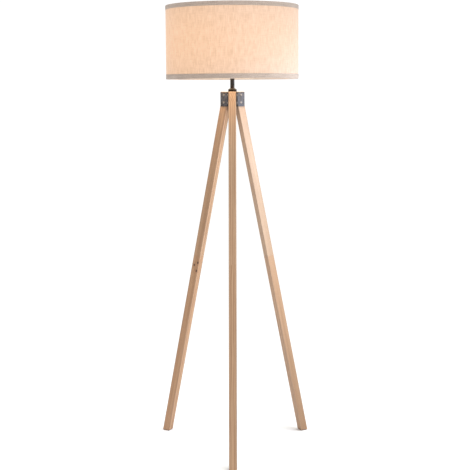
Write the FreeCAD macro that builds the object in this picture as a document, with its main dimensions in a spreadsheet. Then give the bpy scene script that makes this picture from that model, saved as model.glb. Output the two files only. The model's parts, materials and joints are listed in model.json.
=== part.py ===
import FreeCAD, Part
import math
import os
import re
import Sketcher

# A tripod floor lamp in millimetres. +Z is up, the lamp's axis is Z and the floor is at zero.
# A piece that belongs to a leg is drawn with the leg reaching out along +X, then turned to its place.

sizes = {
    # wooden legs
    "legWidth": 25,  # square section
    "legEdgeRound": 1.2,
    "kneeHeight": 1148.5,  # where the upright head meets the splayed shank
    "headHeight": 37,  # upright head above the knee
    "footCircle": 275,  # radius on which the feet stand
    "seamHeight": 632,  # where the upper and lower lengths meet
    "padGauge": 2,
    "padInset": 2,
    # joint between the two lengths of a leg
    "studDiameter": 8,
    "studAbove": 14,
    "studBelow": 32,
    "insertWall": 1.95,
    "insertLength": 16,
    "boreSpare": 2,  # room past the end of the stud
    # threaded lamp pipe, and the fits of what goes on it
    "pipeDiameter": 10,
    "pipeWall": 1.5,
    "pipeBelowNut": 3.6,
    "threadFit": 0.05,  # radial
    "slipFit": 0.2,  # radial
    # steel hub
    "coreWall": 5.2,
    "plateGauge": 2,
    "bracketHeight": 47,
    "headProud": 1.2,  # leg head above the top of its bracket
    "bendRound": 1.5,
    "screwShank": 4,
    "screwLength": 11,
    "screwHeadDiameter": 6.6,
    "screwHeadHeight": 2,
    "screwHeadRound": 1.2,
    "screwRise": 12.6,  # lower screw above the bottom of the bracket
    "screwPitch": 24.5,
    "spacerInset": 0.4,
    "washerWidth": 3.8,
    "washerGauge": 1,
    "nutWall": 1.95,
    "nutHeight": 5,
    "bushProud": 1,
    "bushFlange": 3,
    "bushSpigot": 6,
    "bushWall": 0.55,
    # stem
    "collarProud": 7,
    "collarRim": 6,
    "collarHeight": 11.5,
    "collarLip": 0.9,
    "collarSeat": 2,
    "stemFit": 1,  # radial, round the lamp pipe
    "stemWall": 1,
    "stemRise": 73.5,  # from the leg heads to the lamp holder
    # screw-cap bulb
    "bulbDiameter": 60,
    "bulbHeight": 108,
    "glassWall": 0.8,
    "bulbCap": 26,
    "bulbCapWall": 0.6,
    "bulbCapLength": 21.5,
    "glassInCap": 11.5,
    "glassFit": 0.1,
    "neckHeight": 34,
    "shoulderDrop": 13.5,  # below the centre of the globe
    "tipDiameter": 9,
    "tipHeight": 1.5,
    "insulatorFoot": 11,
    "insulatorHeight": 4,
    "contactGap": 0.3,
    # lamp holder, sized outwards from the bulb's cap
    "socketFit": 0.3,  # radial
    "socketWall": 0.5,
    "socketHeight": 28,
    "spigotWall": 3.95,
    "skirtWall": 5,
    "skirtFlange": 4,
    "skirtFlangeGauge": 2.5,
    "skirtRise": 30,
    "holderWall": 1.5,
    "holderSlope": 4.5,
    "capHeight": 26,
    "bossWall": 3,
    "bossHeight": 8,
    "grubDiameter": 3,
    "grubRise": 5,
    "blockFit": 1,  # radial
    "blockRise": 10,
    "blockHeight": 12,
    "terminalDiameter": 3,
    "terminalHead": 5.6,
    "terminalHeadHeight": 1.6,
    "terminalDepth": 6,
    "terminalInset": 2.2,
    "contactGauge": 1.2,
    "contactWidth": 8,
    "contactLength": 18,
    "shadeRingWall": 5.45,
    "shadeRingHeight": 6.3,
    # turn switch in the holder
    "shaftDiameter": 5,
    "shaftRise": 14,
    "shaftInside": 6,
    "bearingFit": 0.1,  # radial
    "knobDiameter": 13,
    "knobWaist": 10,
    "knobLength": 14,
    "knobRound": 1,
    "knobGap": 1.5,
    "knobSocket": 9,
    # drum shade
    "shadeDiameter": 432,
    "shadeHeight": 237,
    "shadeDrop": 61.4,  # bottom rim below the fitter washer
    "fabricGauge": 0.6,
    "linerGauge": 0.4,
    "tapeGauge": 0.6,
    "tapeTurn": 3.2,  # how far a tape turns in over the wire
    "topTape": 14,
    "bottomTape": 16,
    "wireDiameter": 3.2,
    "wireFit": 0.05,
    "fitterFit": 1,  # radial, round the skirt's thread
    "fitterWidth": 6,
    "fitterGauge": 2,
    "swivelGap": 0.1,
}

# each leg's bearing round the lamp's axis
bearings = {"front": -90, "right": 30, "left": 150}

doc = FreeCAD.newDocument("TripodFloorLamp")
sheet = doc.addObject("Spreadsheet::Sheet", "Sizes")
for row, (alias, number) in enumerate(sizes.items(), start=1):
    sheet.set(f"A{row}", alias)
    sheet.set(f"B{row}", str(number))
    sheet.setAlias(f"B{row}", alias)
doc.recompute()

parts = []
UP = FreeCAD.Vector(0, 0, 1)


# Radii, reaches and heights that several pieces share, in the sheet's names.
PIPE_OUTER = "(pipeDiameter / 2)"
PIPE_INNER = "(pipeDiameter / 2 - pipeWall)"
ON_PIPE = "(pipeDiameter / 2 + slipFit)"
ON_PIPE_THREAD = "(pipeDiameter / 2 + threadFit)"
CORE_HALF = f"({ON_PIPE} + coreWall)"  # half across the core's flats
HEAD_INNER = f"({CORE_HALF} + plateGauge)"
HEAD_MIDDLE = f"({HEAD_INNER} + legWidth / 2)"
HEAD_OUTER = f"({HEAD_INNER} + legWidth)"
HEAD_TOP = "(kneeHeight + headHeight)"
SPLAY = f"((footCircle - {HEAD_MIDDLE}) / kneeHeight)"
LEAN = f"sqrt(1 + {SPLAY} ^ 2)"  # length along the leg for each unit of height
HALF_LEVEL = f"(legWidth / 2 * {LEAN})"  # half of a level section through the shank
CREASE_SHIFT = f"(({HALF_LEVEL} - legWidth / 2) / {SPLAY})"
SEAM_REACH = f"({HEAD_MIDDLE} + (kneeHeight - seamHeight) * {SPLAY})"
SEAM_OUT = f"(legWidth / 2 / {LEAN})"
SEAM_UP = f"(legWidth / 2 * {SPLAY} / {LEAN})"
FOOT_MIDDLE = f"(footCircle - padGauge * {SPLAY})"
INSERT_INNER = "(studDiameter / 2 + threadFit)"
INSERT_OUTER = f"({INSERT_INNER} + insertWall)"
BRACKET_TOP = f"({HEAD_TOP} - headProud)"
BRACKET_BOTTOM = f"({BRACKET_TOP} - bracketHeight)"
SCREW_LOW = f"({BRACKET_BOTTOM} + screwRise)"
SCREW_HIGH = f"({SCREW_LOW} + screwPitch)"
NUT_TOP = f"({BRACKET_BOTTOM} - washerGauge)"
NUT_BOTTOM = f"({NUT_TOP} - nutHeight)"
PIPE_BOTTOM = f"({NUT_BOTTOM} - pipeBelowNut)"
STEM_INNER = f"({PIPE_OUTER} + stemFit)"
STEM_OUTER = f"({STEM_INNER} + stemWall)"
STEM_BOTTOM = f"({HEAD_TOP} + collarSeat)"
STEM_TOP = f"({HEAD_TOP} + stemRise)"
COLLAR_TOP = f"({HEAD_TOP} + collarHeight)"
SOCKET_INNER = "(bulbCap / 2 + socketFit)"
SOCKET_OUTER = f"({SOCKET_INNER} + socketWall)"
SKIRT_INNER = f"({SOCKET_OUTER} + slipFit)"
SPIGOT_OUTER = f"({SKIRT_INNER} + spigotWall)"
THREAD_OUTER = f"({SKIRT_INNER} + skirtWall)"
HOLDER_INNER = f"({SPIGOT_OUTER} + threadFit)"
HOLDER_OUTER = f"({HOLDER_INNER} + holderWall)"
BOSS_OUTER = f"({PIPE_OUTER} + bossWall)"
BOSS_TOP = f"({STEM_TOP} + bossHeight)"
CAP_TOP = f"({STEM_TOP} + capHeight)"
BLOCK_OUTER = f"({HOLDER_INNER} - blockFit)"
BLOCK_BOTTOM = f"({STEM_TOP} + blockRise)"
BLOCK_TOP = f"({BLOCK_BOTTOM} + blockHeight)"
TERMINAL_REACH = f"({BLOCK_OUTER} - terminalInset - terminalHead / 2)"
GRUB_HEIGHT = f"({STEM_TOP} + grubRise)"
SHAFT_HEIGHT = f"({STEM_TOP} + shaftRise)"
KNOB_START = f"({HOLDER_OUTER} + knobGap)"
FLANGE_TOP = f"({CAP_TOP} + skirtFlangeGauge)"
FITTER_INNER = f"({THREAD_OUTER} + fitterFit)"
FITTER_OUTER = f"({FITTER_INNER} + fitterWidth)"
FITTER_BOTTOM = f"({FLANGE_TOP} + swivelGap)"
FITTER_TOP = f"({FITTER_BOTTOM} + fitterGauge)"
RING_BOTTOM = f"({FITTER_TOP} + swivelGap)"
SHADE_BOTTOM = f"({FITTER_BOTTOM} - shadeDrop)"
SHADE_TOP = f"({SHADE_BOTTOM} + shadeHeight)"
WALL_BOTTOM = f"({SHADE_BOTTOM} + tapeGauge)"
WALL_TOP = f"({SHADE_TOP} - tapeGauge)"
LINER_OUTER = "(shadeDiameter / 2 - fabricGauge)"
LINER_INNER = f"({LINER_OUTER} - linerGauge)"
WIRE_REACH = f"({LINER_INNER} - wireFit - wireDiameter / 2)"
TAPE_INNER = f"({LINER_INNER} - tapeTurn)"
TAPE_OUTER = "(shadeDiameter / 2 + tapeGauge)"
LOW_WIRE = f"({WALL_BOTTOM} + wireDiameter / 2)"
HIGH_WIRE = f"({WALL_TOP} - wireDiameter / 2)"
BULB_BOTTOM = f"({BLOCK_TOP} + contactGauge + contactGap)"
BULB_CAP_BOTTOM = f"({BULB_BOTTOM} + tipHeight + insulatorHeight)"
BULB_CAP_TOP = f"({BULB_CAP_BOTTOM} + bulbCapLength)"
GLASS_BOTTOM = f"({BULB_CAP_TOP} - glassInCap)"
NECK_RADIUS = "(bulbCap / 2 - bulbCapWall - glassFit)"
NECK_TOP = f"({BULB_BOTTOM} + neckHeight)"
GLOBE_MIDDLE = f"({BULB_BOTTOM} + bulbHeight - bulbDiameter / 2)"


def sized(text):
    """The same expression with every size named as a cell of the sheet."""
    return re.sub(r"\b(?!(?:sqrt|atan|sin|cos|max)\b)([A-Za-z]\w*)", r"Sizes.\1", text)


def bind(thing, **bindings):
    """Bind properties to expressions; a double underscore stands for a dot."""
    for name, text in bindings.items():
        thing.setExpression(name.replace("__", "."), sized(text))


def keep(piece, label):
    """List a finished sub-part under the name that it is written with."""
    piece.Label = label
    parts.append(piece)
    return piece


def turn(piece, bearing):
    """Turn a piece about the lamp's axis."""
    piece.Placement = FreeCAD.Placement(FreeCAD.Vector(), FreeCAD.Rotation(UP, bearing))
    return piece


# ---- sketches and features of a body ----


def newBody(name):
    return doc.addObject("PartDesign::Body", name)


def newSketch(body, role, name="Sketch"):
    sketch = body.newObject("Sketcher::SketchObject", name)
    plane = next(item for item in body.Origin.OriginFeatures if item.Role == role)
    sketch.AttachmentSupport = [(plane, "")]
    sketch.MapMode = "FlatFace"
    return sketch


def pin(sketch, geometry, point, across, up):
    """Hold a point of the sketch at two expressions."""
    for kind, text in (("DistanceX", across), ("DistanceY", up)):
        index = sketch.addConstraint(Sketcher.Constraint(kind, geometry, point, 0.0))
        sketch.setExpression(f"Constraints[{index}]", sized(text))


def drawOutline(sketch, points):
    """A closed outline through the points, each held at its own two expressions."""
    count = len(points)
    rough = [FreeCAD.Vector(math.cos(math.tau * k / count), math.sin(math.tau * k / count), 0)
             for k in range(count)]
    first = sketch.GeometryCount
    for k in range(count):
        sketch.addGeometry(Part.LineSegment(rough[k], rough[(k + 1) % count]))
    for k in range(count):
        following = first + (k + 1) % count
        sketch.addConstraint(Sketcher.Constraint("Coincident", first + k, 2, following, 1))
    for k, (across, up) in enumerate(points):
        pin(sketch, first + k, 1, across, up)


def drawCircle(sketch, across, up, radius):
    circle = sketch.addGeometry(Part.Circle(FreeCAD.Vector(), UP, 1))
    index = sketch.addConstraint(Sketcher.Constraint("Radius", circle, 1.0))
    sketch.setExpression(f"Constraints[{index}]", sized(radius))
    pin(sketch, circle, 3, across, up)


def turned(name, points):
    """A body turned about its own Z axis from an outline of radius and height."""
    body = newBody(name)
    sketch = newSketch(body, "XZ_Plane", "Section")
    drawOutline(sketch, points)
    revolution = body.newObject("PartDesign::Revolution", "Turned")
    revolution.Profile = sketch
    revolution.ReferenceAxis = (sketch, ["V_Axis"])
    revolution.Angle = 360
    return body


def band(name, label, inner, outer, bottom, top):
    """A plain ring of rectangular section about the lamp's axis."""
    return keep(turned(name, [(inner, bottom), (outer, bottom), (outer, top), (inner, top)]), label)


def padBoth(body, sketch, length):
    pad = body.newObject("PartDesign::Pad", "Pad")
    pad.Profile = sketch
    pad.SideType = "Symmetric"
    bind(pad, Length=length)


def drillAcross(body, holes, radius):
    """Holes right through the body along Y, at pairs of reach and height."""
    sketch = newSketch(body, "XZ_Plane", "Holes")
    for reach, height in holes:
        drawCircle(sketch, reach, height, radius)
    before = body.Shape.Volume
    pocket = body.newObject("PartDesign::Pocket", "Pocket")
    pocket.Profile = sketch
    pocket.SideType = "Symmetric"
    pocket.Type = "ThroughAll"
    doc.recompute()
    if body.Shape.Volume >= before:
        raise RuntimeError(f"{body.Name}: the holes cut nothing")


def roundEdges(body, radius, wanted):
    """Round the edges that the rule picks."""
    doc.recompute()
    base = body.Tip
    edges = [f"Edge{k}" for k, edge in enumerate(base.Shape.Edges, start=1) if wanted(edge)]
    fillet = body.newObject("PartDesign::Fillet", "Fillet")
    fillet.Base = (base, edges)
    bind(fillet, Radius=radius)


def bore(body, name, radius, depth):
    """A round bore that the caller places."""
    hole = body.newObject("PartDesign::SubtractiveCylinder", name)
    bind(hole, Radius=radius, Height=depth)
    return hole


def layAlongX(piece, reach, height):
    """Lay a piece's own Z axis along +X."""
    piece.Placement = FreeCAD.Placement(FreeCAD.Vector(), FreeCAD.Rotation(FreeCAD.Vector(0, 1, 0), 90))
    bind(piece, Placement__Base__x=reach, Placement__Base__z=height)
    return piece


def layAlongLeg(piece, up):
    """Lay a piece's own Z axis up a leg, starting that far above the seam."""
    piece.Placement = FreeCAD.Placement(FreeCAD.Vector(), FreeCAD.Rotation(FreeCAD.Vector(0, -1, 0), 1))
    bind(piece,
         Placement__Rotation__Angle=f"atan({SPLAY})",
         Placement__Base__x=f"{SEAM_REACH} - ({up}) * {SPLAY} / {LEAN}",
         Placement__Base__z=f"seamHeight + ({up}) / {LEAN}")
    return piece


# ---- Part primitives ----


def cylinder(name, radius, height, bottom="0"):
    piece = doc.addObject("Part::Cylinder", name)
    bind(piece, Radius=radius, Height=height, Placement__Base__z=bottom)
    return piece


def hexagon(name, halfFlats, height, bottom):
    piece = doc.addObject("Part::Prism", name)
    piece.Polygon = 6
    bind(piece, Circumradius=f"({halfFlats}) / cos(30)", Height=height, Placement__Base__z=bottom)
    return piece


def cut(name, base, tool):
    piece = doc.addObject("Part::Cut", name)
    piece.Base = base
    piece.Tool = tool
    return piece


def gather(name, pieces):
    """Separate solids that share one node."""
    group = doc.addObject("Part::Compound", name)
    group.Links = pieces
    return group


def oneForEachLeg(label, makeOne):
    """The same piece at each of the three legs, as one group of separate solids."""
    turnedPieces = []
    for side, bearing in bearings.items():
        holder = gather(f"{label}_{side}", [makeOne(side)])
        turnedPieces.append(turn(holder, bearing))
    return keep(gather(label, turnedPieces), label)


# ---- legs ----


def onSideFace(edge):
    """True for an edge that runs along one of a leg's two side faces."""
    first, last = (vertex.Point for vertex in edge.Vertexes)
    half = sheet.get("legWidth") / 2
    return abs(abs(first.y) - half) < 0.01 and abs(first.y - last.y) < 0.01


def isTopEdge(edge):
    height = sheet.get("kneeHeight") + sheet.get("headHeight")
    return all(abs(vertex.Z - height) < 0.01 for vertex in edge.Vertexes)


def isLongEdge(edge):
    return onSideFace(edge) and edge.Length > 1.3 * sheet.get("legWidth")


def upperLeg(side, bearing):
    body = newBody(f"UpperLeg_{side}")
    sketch = newSketch(body, "XZ_Plane", "Side")
    drawOutline(sketch, [
        (HEAD_INNER, HEAD_TOP),
        (HEAD_OUTER, HEAD_TOP),
        (HEAD_OUTER, f"kneeHeight + {CREASE_SHIFT}"),
        (f"{SEAM_REACH} + {SEAM_OUT}", f"seamHeight + {SEAM_UP}"),
        (f"{SEAM_REACH} - {SEAM_OUT}", f"seamHeight - {SEAM_UP}"),
        (HEAD_INNER, f"kneeHeight - {CREASE_SHIFT}"),
    ])
    padBoth(body, sketch, "legWidth")
    roundEdges(body, "legEdgeRound", lambda edge: isLongEdge(edge) or isTopEdge(edge))
    drillAcross(body, [(HEAD_MIDDLE, SCREW_LOW), (HEAD_MIDDLE, SCREW_HIGH)], "screwShank / 2")
    depth = "max(insertLength; studAbove) + boreSpare"
    layAlongLeg(bore(body, "InsertBore", INSERT_OUTER, depth), "0")
    keep(turn(body, bearing), f"leg_{side}_upper")


def lowerLeg(side, bearing):
    body = newBody(f"LowerLeg_{side}")
    sketch = newSketch(body, "XZ_Plane", "Side")
    drawOutline(sketch, [
        (f"{SEAM_REACH} - {SEAM_OUT}", f"seamHeight - {SEAM_UP}"),
        (f"{SEAM_REACH} + {SEAM_OUT}", f"seamHeight + {SEAM_UP}"),
        (f"{FOOT_MIDDLE} + {HALF_LEVEL}", "padGauge"),
        (f"{FOOT_MIDDLE} - {HALF_LEVEL}", "padGauge"),
    ])
    padBoth(body, sketch, "legWidth")
    roundEdges(body, "legEdgeRound", isLongEdge)
    layAlongLeg(bore(body, "StudBore", "studDiameter / 2", "studBelow + boreSpare"), "-studBelow - boreSpare")
    keep(turn(body, bearing), f"leg_{side}_lower")


def footPad(side):
    pad = doc.addObject("Part::Box", f"Pad_{side}")
    length = f"(2 * {HALF_LEVEL} - 2 * padInset)"
    bind(pad,
         Length=length,
         Width="legWidth - 2 * padInset",
         Height="padGauge",
         Placement__Base__x=f"{FOOT_MIDDLE} - {length} / 2",
         Placement__Base__y="padInset - legWidth / 2")
    return pad


def legStud(side):
    stud = cylinder(f"Stud_{side}", "studDiameter / 2", "studBelow + studAbove")
    return layAlongLeg(stud, "-studBelow")


def legInsert(side):
    sleeve = layAlongLeg(cylinder(f"Sleeve_{side}", INSERT_OUTER, "insertLength"), "0")
    thread = layAlongLeg(cylinder(f"Thread_{side}", INSERT_INNER, "insertLength"), "0")
    return cut(f"Insert_{side}", sleeve, thread)


for side, bearing in bearings.items():
    upperLeg(side, bearing)
    lowerLeg(side, bearing)
oneForEachLeg("foot_pads", footPad)
oneForEachLeg("leg_studs", legStud)
oneForEachLeg("leg_inserts", legInsert)


# ---- hub ----


def isBendEdge(edge, box):
    """True for the two upright edges outside the bends of a bracket."""
    first, last = (vertex.Point for vertex in edge.Vertexes)
    upright = abs(first.x - last.x) < 0.01 and abs(first.y - last.y) < 0.01
    outside = abs(abs(first.y) - box.YMax) < 0.01
    return upright and outside and abs(first.x - box.XMin) < 0.01


def bracket(side, bearing):
    """A plate bent into a U round three sides of a leg head."""
    body = newBody(f"Bracket_{side}")
    sketch = newSketch(body, "XY_Plane", "Plan")
    bind(sketch, AttachmentOffset__Base__z=BRACKET_BOTTOM)
    drawOutline(sketch, [
        (CORE_HALF, "-legWidth / 2 - plateGauge"),
        (HEAD_OUTER, "-legWidth / 2 - plateGauge"),
        (HEAD_OUTER, "-legWidth / 2"),
        (HEAD_INNER, "-legWidth / 2"),
        (HEAD_INNER, "legWidth / 2"),
        (HEAD_OUTER, "legWidth / 2"),
        (HEAD_OUTER, "legWidth / 2 + plateGauge"),
        (CORE_HALF, "legWidth / 2 + plateGauge"),
    ])
    pad = body.newObject("PartDesign::Pad", "Pad")
    pad.Profile = sketch
    bind(pad, Length="bracketHeight")
    roundEdges(body, "bendRound", lambda edge: isBendEdge(edge, body.Shape.BoundBox))
    drillAcross(body, [(HEAD_MIDDLE, SCREW_LOW), (HEAD_MIDDLE, SCREW_HIGH)], "screwShank / 2")
    keep(turn(body, bearing), f"bracket_{side}")


def cheekScrews(side):
    """Two pan-head screws through each cheek of a bracket."""
    screws = []
    for face in (1, -1):
        for name, height in (("Low", SCREW_LOW), ("High", SCREW_HIGH)):
            screw = turned(f"Screw{name}_{side}", [
                ("0", "-screwLength"),
                ("screwShank / 2", "-screwLength"),
                ("screwShank / 2", "0"),
                ("screwHeadDiameter / 2", "0"),
                ("screwHeadDiameter / 2", "screwHeadHeight - screwHeadRound"),
                ("screwHeadDiameter / 2 - screwHeadRound", "screwHeadHeight"),
                ("0", "screwHeadHeight"),
            ])
            outwards = FreeCAD.Rotation(FreeCAD.Vector(1, 0, 0), -90 * face)
            screw.Placement = FreeCAD.Placement(FreeCAD.Vector(), outwards)
            bind(screw,
                 Placement__Base__x=HEAD_MIDDLE,
                 Placement__Base__y=f"{face} * (legWidth / 2 + plateGauge)",
                 Placement__Base__z=height)
            screws.append(screw)
    return gather(f"Screws_{side}", screws)


for side, bearing in bearings.items():
    bracket(side, bearing)
oneForEachLeg("bracket_screws", cheekScrews)

keep(cut("Core",
         hexagon("CoreBar", CORE_HALF, "bracketHeight", BRACKET_BOTTOM),
         cylinder("CoreBore", ON_PIPE, "bracketHeight", BRACKET_BOTTOM)),
     "hub_core")

band("Spacer", "hub_spacer", ON_PIPE, f"{CORE_HALF} - spacerInset", BRACKET_TOP, HEAD_TOP)
band("LockWasher", "hub_lock_washer", ON_PIPE, f"{ON_PIPE} + washerWidth", NUT_TOP, BRACKET_BOTTOM)

keep(cut("Nut",
         hexagon("NutBar", f"{ON_PIPE_THREAD} + nutWall", "nutHeight", NUT_BOTTOM),
         cylinder("NutBore", ON_PIPE_THREAD, "nutHeight", NUT_BOTTOM)),
     "hub_nut")

band("Pipe", "lamp_pipe", PIPE_INNER, PIPE_OUTER, PIPE_BOTTOM, BOSS_TOP)

BUSH_SPIGOT = f"({PIPE_INNER} - threadFit)"
keep(turned("CordBush", [
    (f"{BUSH_SPIGOT} - bushWall", f"{PIPE_BOTTOM} - bushFlange"),
    (f"{PIPE_OUTER} + bushProud", f"{PIPE_BOTTOM} - bushFlange"),
    (f"{PIPE_OUTER} + bushProud", PIPE_BOTTOM),
    (BUSH_SPIGOT, PIPE_BOTTOM),
    (BUSH_SPIGOT, f"{PIPE_BOTTOM} + bushSpigot"),
    (f"{BUSH_SPIGOT} - bushWall", f"{PIPE_BOTTOM} + bushSpigot"),
]), "cord_bush")


# ---- stem ----


keep(turned("Collar", [
    (ON_PIPE, HEAD_TOP),
    (f"{STEM_OUTER} + collarProud", HEAD_TOP),
    (f"{STEM_OUTER} + collarProud", f"{HEAD_TOP} + collarRim"),
    (f"{STEM_OUTER} + collarLip", COLLAR_TOP),
    (f"{STEM_OUTER} + threadFit", COLLAR_TOP),
    (f"{STEM_OUTER} + threadFit", STEM_BOTTOM),
    (ON_PIPE, STEM_BOTTOM),
]), "stem_collar")

band("Stem", "stem_tube", STEM_INNER, STEM_OUTER, STEM_BOTTOM, STEM_TOP)


# ---- lamp holder ----


def holderCap():
    body = turned("HolderCap", [
        (ON_PIPE_THREAD, STEM_TOP),
        (f"{HOLDER_OUTER} - holderSlope", STEM_TOP),
        (HOLDER_OUTER, f"{STEM_TOP} + holderSlope"),
        (HOLDER_OUTER, CAP_TOP),
        (HOLDER_INNER, CAP_TOP),
        (HOLDER_INNER, f"{STEM_TOP} + holderSlope + holderWall / 2"),
        (f"{HOLDER_INNER} - holderSlope + holderWall / 2", f"{STEM_TOP} + holderWall"),
        (BOSS_OUTER, f"{STEM_TOP} + holderWall"),
        (BOSS_OUTER, BOSS_TOP),
        (ON_PIPE_THREAD, BOSS_TOP),
    ])
    shaftHole = bore(body, "ShaftHole", "shaftDiameter / 2 + bearingFit", "holderWall * 2")
    layAlongX(shaftHole, f"{HOLDER_INNER} - holderWall / 2", SHAFT_HEIGHT)
    layAlongX(bore(body, "GrubHole", "grubDiameter / 2", "bossWall"), PIPE_OUTER, GRUB_HEIGHT)
    keep(body, "holder_cap")


def terminalScrew(name, side):
    """A brass screw up into the block from below."""
    screw = turned(name, [
        ("0", f"{BLOCK_BOTTOM} - terminalHeadHeight"),
        ("terminalHead / 2", f"{BLOCK_BOTTOM} - terminalHeadHeight"),
        ("terminalHead / 2", BLOCK_BOTTOM),
        ("terminalDiameter / 2", BLOCK_BOTTOM),
        ("terminalDiameter / 2", f"{BLOCK_BOTTOM} + terminalDepth"),
        ("0", f"{BLOCK_BOTTOM} + terminalDepth"),
    ])
    bind(screw, Placement__Base__y=f"{side} * {TERMINAL_REACH}")
    return screw


def holderBlock():
    body = turned("HolderBlock", [
        ("0", BLOCK_BOTTOM),
        (BLOCK_OUTER, BLOCK_BOTTOM),
        (BLOCK_OUTER, BLOCK_TOP),
        ("0", BLOCK_TOP),
    ])
    shaftBore = bore(body, "ShaftBore", "shaftDiameter / 2 + bearingFit", HOLDER_OUTER)
    layAlongX(shaftBore, "shaftInside - bearingFit", SHAFT_HEIGHT)
    for side in (1, -1):
        hole = bore(body, "TerminalHole", "terminalDiameter / 2", "terminalDepth")
        bind(hole, Placement__Base__y=f"{side} * {TERMINAL_REACH}", Placement__Base__z=BLOCK_BOTTOM)
    keep(body, "holder_block")


holderCap()
holderBlock()

grubScrew = cylinder("GrubScrew", "grubDiameter / 2", "bossWall - threadFit")
keep(layAlongX(grubScrew, ON_PIPE_THREAD, GRUB_HEIGHT), "holder_grub_screw")

keep(gather("TerminalScrews", [terminalScrew("TerminalLeft", 1), terminalScrew("TerminalRight", -1)]),
     "terminal_screws")

contact = doc.addObject("Part::Box", "Contact")
bind(contact,
     Length="contactLength",
     Width="contactWidth",
     Height="contactGauge",
     Placement__Base__x="-contactLength / 2",
     Placement__Base__y="-contactWidth / 2",
     Placement__Base__z=BLOCK_TOP)
keep(contact, "centre_contact")

band("Socket", "socket_thread", SOCKET_INNER, SOCKET_OUTER, BLOCK_TOP, f"{BLOCK_TOP} + socketHeight")

keep(turned("Skirt", [
    (SKIRT_INNER, BLOCK_TOP),
    (SPIGOT_OUTER, BLOCK_TOP),
    (SPIGOT_OUTER, CAP_TOP),
    (f"{THREAD_OUTER} + skirtFlange", CAP_TOP),
    (f"{THREAD_OUTER} + skirtFlange", FLANGE_TOP),
    (THREAD_OUTER, FLANGE_TOP),
    (THREAD_OUTER, f"{CAP_TOP} + skirtRise"),
    (SKIRT_INNER, f"{CAP_TOP} + skirtRise"),
]), "holder_skirt")

RING_INNER = f"({THREAD_OUTER} + threadFit)"
band("ShadeRing", "shade_ring", RING_INNER, f"{RING_INNER} + shadeRingWall",
     RING_BOTTOM, f"{RING_BOTTOM} + shadeRingHeight")


# ---- turn switch ----


shaft = cylinder("SwitchShaft", "shaftDiameter / 2", f"{KNOB_START} + knobSocket - shaftInside")
keep(layAlongX(shaft, "shaftInside", SHAFT_HEIGHT), "switch_shaft")

knob = turned("SwitchKnob", [
    ("shaftDiameter / 2", "0"),
    ("knobWaist / 2", "0"),
    ("knobWaist / 2", "knobLength / 4"),
    ("knobDiameter / 2", "knobLength / 3"),
    ("knobDiameter / 2", "knobLength - knobRound"),
    ("knobDiameter / 2 - knobRound", "knobLength"),
    ("0", "knobLength"),
    ("0", "knobSocket"),
    ("shaftDiameter / 2", "knobSocket"),
])
keep(layAlongX(knob, KNOB_START, SHAFT_HEIGHT), "switch_knob")


# ---- drum shade ----


band("Fabric", "shade_fabric", LINER_OUTER, "shadeDiameter / 2", WALL_BOTTOM, WALL_TOP)
band("Liner", "shade_liner", LINER_INNER, LINER_OUTER, WALL_BOTTOM, WALL_TOP)

# each tape lies on the fabric and turns in over the wall's edge and the wire
keep(turned("TopTrim", [
    ("shadeDiameter / 2", f"{SHADE_TOP} - topTape"),
    (TAPE_OUTER, f"{SHADE_TOP} - topTape"),
    (TAPE_OUTER, SHADE_TOP),
    (TAPE_INNER, SHADE_TOP),
    (TAPE_INNER, WALL_TOP),
    ("shadeDiameter / 2", WALL_TOP),
]), "top_trim")
keep(turned("BottomTrim", [
    (TAPE_INNER, SHADE_BOTTOM),
    (TAPE_OUTER, SHADE_BOTTOM),
    (TAPE_OUTER, f"{SHADE_BOTTOM} + bottomTape"),
    ("shadeDiameter / 2", f"{SHADE_BOTTOM} + bottomTape"),
    ("shadeDiameter / 2", WALL_BOTTOM),
    (TAPE_INNER, WALL_BOTTOM),
]), "bottom_trim")

topWire = doc.addObject("Part::Torus", "TopWire")
bind(topWire, Radius1=WIRE_REACH, Radius2="wireDiameter / 2", Placement__Base__z=HIGH_WIRE)
keep(topWire, "top_wire")


def shadeFrame():
    """Bottom wire, three spokes and the fitter washer, welded into one piece."""
    body = turned("ShadeFrame", [
        (FITTER_INNER, FITTER_BOTTOM),
        (FITTER_OUTER, FITTER_BOTTOM),
        (FITTER_OUTER, FITTER_TOP),
        (FITTER_INNER, FITTER_TOP),
    ])
    run = f"({WIRE_REACH} - {FITTER_OUTER} + wireDiameter / 2)"
    rise = f"({FITTER_BOTTOM} + fitterGauge / 2 - {LOW_WIRE})"
    for bearing in bearings.values():
        opposite = math.radians(bearing + 180)
        spoke = body.newObject("PartDesign::AdditiveCylinder", "Spoke")
        # the spoke starts on the wire and leans in towards the washer
        inwards = FreeCAD.Vector(math.sin(opposite), -math.cos(opposite), 0)
        spoke.Placement = FreeCAD.Placement(FreeCAD.Vector(), FreeCAD.Rotation(inwards, 1))
        bind(spoke,
             Radius="wireDiameter / 2",
             Height=f"sqrt({run} ^ 2 + {rise} ^ 2)",
             Placement__Rotation__Angle=f"atan({run} / {rise})",
             Placement__Base__x=f"{WIRE_REACH} * cos({bearing + 180})",
             Placement__Base__y=f"{WIRE_REACH} * sin({bearing + 180})",
             Placement__Base__z=LOW_WIRE)
    wire = body.newObject("PartDesign::AdditiveTorus", "LowWire")
    bind(wire, Radius1=WIRE_REACH, Radius2="wireDiameter / 2", Placement__Base__z=LOW_WIRE)
    keep(body, "shade_frame")


shadeFrame()


# ---- bulb ----


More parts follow.
